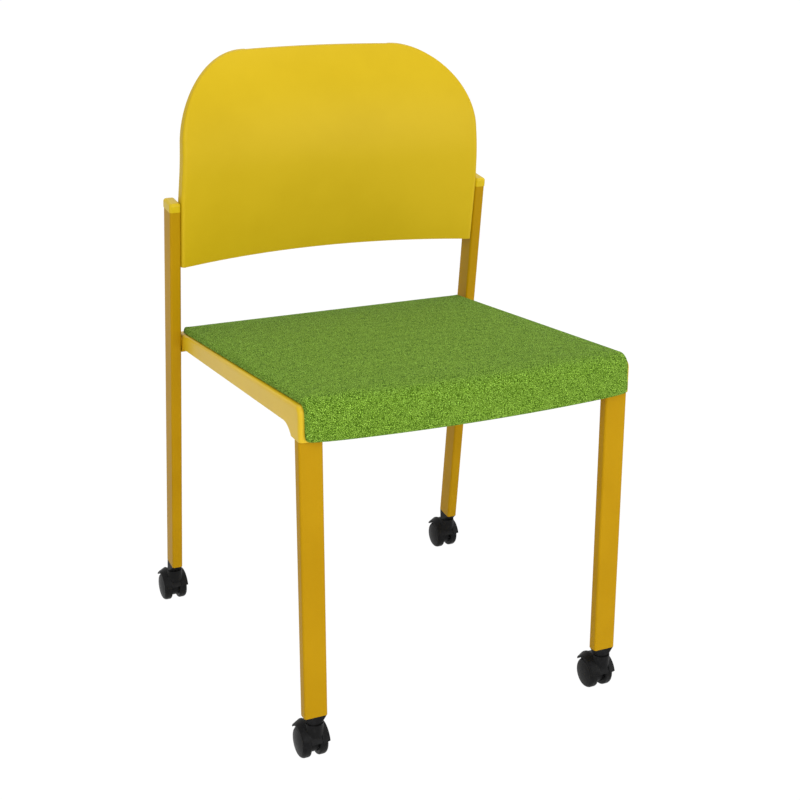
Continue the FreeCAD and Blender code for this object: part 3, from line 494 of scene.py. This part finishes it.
def shellLoops():
    knee, (rear, rearTop) = shell["kneeBack"], pad["shellRear"]
    kneeRows = shell["kneeRows"]
    straight = np.linspace(rear, knee, shell["topRows"])[:-1, None]
    share = np.concatenate([0 * straight, np.linspace(0, 1, kneeRows)[:, None]])
    back = np.concatenate([straight, np.full((kneeRows, 1), knee)])
    half = shell["halfRear"] + (pad["shellHalf"] - shell["halfRear"]) * (rear - back) / rear
    # the lower line: straight to the knee, then a round down to the leg
    kneeUp = shell["lowRear"] + shell["lowSlope"] * (rear - knee)
    stop = math.asin(1 - (kneeUp - shell["lowKnee"]) / shell["kneeRound"])
    turn = quarterTurn + (stop - quarterTurn) * share
    lowBack = back - shell["kneeRound"] * np.cos(turn)
    lowUp = (shell["lowRear"] + shell["lowSlope"] * (rear - back)
             - shell["kneeRound"] * (1 - np.sin(turn)))
    bend = np.linspace(0, quarterTurn, shell["edgeColumns"])[None, :]
    plate = np.linspace(-1, 1, shell["plateColumns"])[None, 1:-1]
    down = np.linspace(1, 0, shell["skirtColumns"])[None, :-1]
    sheets = []
    for inset, radius in ((0.0, shell["edge"]), (shell["wall"], shell["innerEdge"])):
        side = half - inset
        rightX = np.concatenate([side + 0 * down, side - radius * (1 - np.cos(bend))], 1)
        x = np.concatenate([-rightX, plate * (side - radius), rightX[:, ::-1]], 1)
        rightDrop = np.concatenate([radius + 0 * down, radius * (1 - np.sin(bend))], 1)
        drop = np.concatenate([rightDrop, 0 * plate, rightDrop[:, ::-1]], 1)
        hang = np.concatenate([down, 0 * bend, 0 * plate, 0 * bend, down[:, ::-1]], 1)
        front = inset - pad["shellFront"] - pad["bow"] * (1 - (x / pad["shellHalf"]) ** 2)
        nose = pad["nose"] - inset

        def top(depth):
            return rearTop - inset + pad["slope"] * (rear - depth)

        # past the knee each column goes on straight, over the nose and down
        flat, arc = knee - front - nose, nose * quarterTurn
        gone = share * (flat + arc + top(front + nose) - nose - shell["low"])
        angle = np.clip((gone - flat) / nose, 0, quarterTurn)
        along = back - np.minimum(gone, flat)
        depth = along - nose * np.sin(angle) + drop * np.sin(angle)
        height = (top(along) - nose * (1 - np.cos(angle)) - np.maximum(gone - flat - arc, 0)
                  - drop * np.cos(angle))
        depth += hang * (lowBack - depth)
        height += hang * (lowUp - height)
        sheets.append(np.stack([x, legFront + depth, height], -1))
    return joinSheets(*sheets)


seatShell = addPiece("seatShell", shellLoops(), "shell_plastic", "seat_shell")
roundEdges(seatShell, shell["rim"], shell["rimSegments"])
print("seat shell made")


# Back panel: a wall bowed on one arc, whose sides turn back in a round corner as returns, all
# carried up a line that curls back near its top. The top corners are arcs, round which the
# returns shrink to a narrow lip behind the wall
panel = {
    "half": 0.2193,
    "bow": 0.031,
    "wall": 0.005,
    "lean": math.radians(9.26),
    "straight": 0.1195,
    "curl": 0.215,
    "tall": 0.269,
    "corner": 0.106,
    "shoulder": 0.092,
    "drawIn": 0.0036,
    "fold": 0.0045,
    "leastFold": 0.0006,
    "innerFold": 0.0015,
    "leastLip": 0.0016,
    "reach": 0.037,          # how far back the returns go below the shoulder
    "reachKept": 0.055,      # up to this height
    "cornerReach": 0.0165,   # and this far from the caps' top up
    "cornerFade": 1.2,       # above 1, the returns shrink sooner round the corners
    "foot": (0.4177, 0.5269),
    "edge": 0.0013,
    "edgeSegments": 3,
    "sideRows": (20, 18, 34),    # up to the shoulder, to the corner and round it
    "returnColumns": 9,
    "foldColumns": 6,
    "faceColumns": 92,
    "faceTurn": 1.2,         # they stand as the sine of angles up to this, closer at the sides
}


def panelLoops():
    shoulder, tall, corner = panel["shoulder"], panel["tall"], panel["corner"]
    wall, start, lean = panel["wall"], tall - corner, panel["lean"]
    topHalf = panel["half"] - panel["drawIn"]
    lowRows, midRows, cornerRows = panel["sideRows"]
    turn = np.linspace(0, quarterTurn, cornerRows)[1:]
    z = np.concatenate([np.linspace(0, shoulder, lowRows),
                        np.linspace(shoulder, start, midRows)[1:],
                        start + corner * np.sin(turn)])[:, None]
    half = np.concatenate([np.full(lowRows, panel["half"]),
                           np.linspace(panel["half"], topHalf, midRows)[1:],
                           topHalf - corner + corner * np.cos(turn)])[:, None]
    rising = np.clip((z - start) / corner, 0, 1)
    waist = np.clip((z - panel["reachKept"]) / (shoulder - panel["reachKept"]), 0, 1)
    fold = np.maximum(panel["fold"] * (1 - rising ** 2), panel["leastFold"])
    reach = panel["reach"] + (panel["cornerReach"] - panel["reach"]) * np.sin(
        waist * quarterTurn)
    least = wall + panel["leastLip"]
    reach = least + (reach - least) * (1 - rising) ** panel["cornerFade"]
    back = panel["curl"] - np.sqrt(panel["curl"] ** 2 - np.maximum(z - panel["straight"], 0) ** 2)
    arc = (panel["half"] ** 2 + panel["bow"] ** 2) / (2 * panel["bow"])

    def face(x):
        return panel["bow"] - arc + np.sqrt(arc ** 2 - x ** 2)

    bend = np.linspace(0, quarterTurn, panel["foldColumns"])[None, :]
    along = np.linspace(1, 0, panel["returnColumns"])[None, :-1]
    flat = np.sin(np.linspace(-1, 1, panel["faceColumns"]) * panel["faceTurn"])[None, 1:-1]
    flat = flat / math.sin(panel["faceTurn"])
    innerFold = np.minimum(panel["innerFold"], (reach - wall) / 2)
    sheets = []
    for inset, radius in ((0.0, fold), (wall, innerFold)):
        side = half - inset
        rim = face(half - fold) + inset
        foldX = side - radius + radius * np.cos(bend)
        foldY = rim + radius - radius * np.sin(bend)
        stripX = side + 0 * along
        stripY = foldY[:, :1] + (face(half - fold) + reach - foldY[:, :1]) * along
        rightX = np.concatenate([stripX, foldX], 1)
        rightY = np.concatenate([stripY, foldY], 1)
        faceX = flat * (side - radius)
        # the face's own depth, eased so that it meets the round corner
        faceY = face(faceX * (half - fold) / (side - radius)) + inset
        x = np.concatenate([-rightX, faceX, rightX[:, ::-1]], 1)
        y = np.concatenate([rightY, faceY, rightY[:, ::-1]], 1) + back
        sheets.append(np.stack([
            x, legFront + panel["foot"][0] + y * math.cos(lean) - z * math.sin(lean),
            panel["foot"][1] + y * math.sin(lean) + z * math.cos(lean)], -1))
    return joinSheets(*sheets)


backPanel = addPiece("backPanel", panelLoops(), "panel_plastic", "back_panel")
roundEdges(backPanel, panel["edge"], panel["edgeSegments"])
print("back panel made")


# Floor, backdrop and light
studio = {
    "floorSize": 60.0,
    "floorGrey": (0.9, 0.9, 0.9),
    "floorGlow": 0.98,       # share of the floor's white that glows by itself, as seen
    "glowStrength": 1.03,
    "skyFill": 0.66,         # the sky's strength where it lights the chair
}
softboxes = {                # place, aim, width in metres and power in watts
    "keyBox": ((-1.6, -2.4, 2.2), (0, 0, 0.5), 2.4, 36),
    "topBox": ((0.6, 0.2, 3.4), (0, 0, 0.4), 2.6, 30),
    "frontBox": ((0.8, -3.0, 0.7), (0, 0, 0.6), 2.4, 44),
}


def makeFloor():
    side = studio["floorSize"] / 2
    mesh = bpy.data.meshes.new("studioFloor")
    corners = [(-side, -side, 0), (side, -side, 0), (side, side, 0), (-side, side, 0)]
    mesh.from_pydata(corners, [], [(0, 1, 2, 3)])
    floor = bpy.data.objects.new("studioFloor", mesh)
    scene.collection.objects.link(floor)
    shader = Shader("floorWhite", Base_Color=studio["floorGrey"], Roughness=0.9,
                    Specular_IOR_Level=0.0)
    rays = [shader.node("ShaderNodeLightPath", out="Is %s Ray" % kind)
            for kind in ("Camera", "Glossy", "Transmission")]
    seen = (rays[0] + rays[1] + rays[2]) * studio["floorGlow"]
    glow = shader.node("ShaderNodeEmission", None, {"Strength": studio["glowStrength"]})
    body = Signal(shader, shader.surface.outputs[0])
    mixed = shader.node("ShaderNodeMixShader", None, {0: seen, 1: body, 2: glow})
    shader.tree.links.new(mixed.socket, shader.tree.nodes["Material Output"].inputs[0])
    mesh.materials.append(shader.material)


# White where the sky is seen, straight or in a gloss, and skyFill where it gives light
def makeSky():
    world = bpy.data.worlds.new("studioSky")
    scene.world = world
    world.use_nodes = True
    tree = world.node_tree
    background = tree.nodes["Background"]
    background.inputs["Color"].default_value = (1, 1, 1, 1)
    rays = tree.nodes.new("ShaderNodeLightPath")
    seen = rays.outputs["Is Camera Ray"]
    for kind in ("Is Glossy Ray", "Is Transmission Ray"):
        either = tree.nodes.new("ShaderNodeMath")
        either.operation = "MAXIMUM"
        tree.links.new(seen, either.inputs[0])
        tree.links.new(rays.outputs[kind], either.inputs[1])
        seen = either.outputs[0]
    strength = tree.nodes.new("ShaderNodeMapRange")
    tree.links.new(seen, strength.inputs["Value"])
    strength.inputs["To Min"].default_value = studio["skyFill"]
    tree.links.new(strength.outputs[0], background.inputs["Strength"])


def addHolder(name, data, spot, aim):  # aim is the direction that it looks in
    holder = bpy.data.objects.new(name, data)
    scene.collection.objects.link(holder)
    holder.location = spot
    holder.rotation_euler = aim.to_track_quat("-Z", "Y").to_euler()
    return holder


def addSoftbox(name, spot, target, size, power):
    lamp = bpy.data.lights.new(name, "AREA")
    lamp.shape, lamp.size, lamp.energy = "DISK", size, power
    addHolder(name, lamp, spot, Vector(target) - Vector(spot))


camera = {
    "azimuth": math.radians(25.2393),   # it looks this far right of straight ahead
    "drop": math.radians(18.3904),      # and this far down
    "spot": (-0.788706, -1.475808, 0.991252),   # the middle one counted from the legs' face
    "focal": 1493.0,                    # in pixels of the 800 pixel wide photograph
    "pixels": 800.0,
    "sensor": 36.0,
}


def makeCamera():
    data = bpy.data.cameras.new("viewpoint")
    data.sensor_width = camera["sensor"]
    data.lens = camera["focal"] / camera["pixels"] * camera["sensor"]
    x, back, height = camera["spot"]
    turn, drop = camera["azimuth"], camera["drop"]
    aim = Vector((math.sin(turn) * math.cos(drop), math.cos(turn) * math.cos(drop),
                  -math.sin(drop)))
    scene.camera = addHolder("viewpoint", data, (x, back + legFront, height), aim)


makeFloor()
makeSky()
makeCamera()
for name, settings in softboxes.items():
    addSoftbox(name, *settings)
scene.view_settings.view_transform = "Standard"
print("studio ready")
